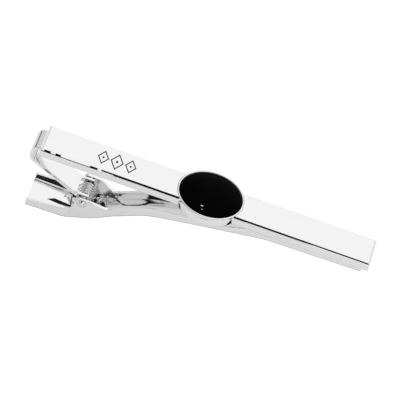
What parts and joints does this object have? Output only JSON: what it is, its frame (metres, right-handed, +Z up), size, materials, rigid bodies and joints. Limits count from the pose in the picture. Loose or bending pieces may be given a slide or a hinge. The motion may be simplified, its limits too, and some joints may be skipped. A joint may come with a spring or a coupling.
{
  "type": "tie bar",
  "caption": "Bevelled polished tie bar with an oval black cabochon and a sprung alligator clasp that pivots on its back.",
  "frame": {"origin": "centre of the object's box in plan, on the plane of the clasp tail's flat underside", "axes": "+X along the bar from the hinge end towards the jaw's tip, +Y across the bar towards its far side, +Z up out of the bar's face, the side with the stone"},
  "size_m": [0.057, 0.0106, 0.0143],
  "materials": {
    "polished_plate": "mirror-polished bright white plate",
    "polished_strip": "polished plate over pressed sheet",
    "polished_rivet": "polished, domed rivet heads",
    "spring_steel": "drawn wire, satin",
    "black_onyx": "opaque, high gloss",
    "clear_cement": "cured clear cement"
  },
  "bodies": {
    "bar": {"face_bar": "polished_plate", "bezel_rim": "polished_plate", "onyx_cabochon": "black_onyx", "stone_cement": "clear_cement", "back_strip": "polished_strip", "torsion_spring": "spring_steel"},
    "lever": {"clasp_lever": "polished_strip", "hinge_pin": "polished_rivet"}
  },
  "joints": [
    {"name": "clasp_pivot", "type": "hinge", "parent": "bar", "child": "lever", "pos_m": [-0.01816, 0, 0.0044], "axis": [0, 1, 0], "range_deg": [0, 20], "stiffness_Nm_per_rad": 0.012, "springref_deg": -57.3, "deforming": ["torsion_spring"]}
  ]
}
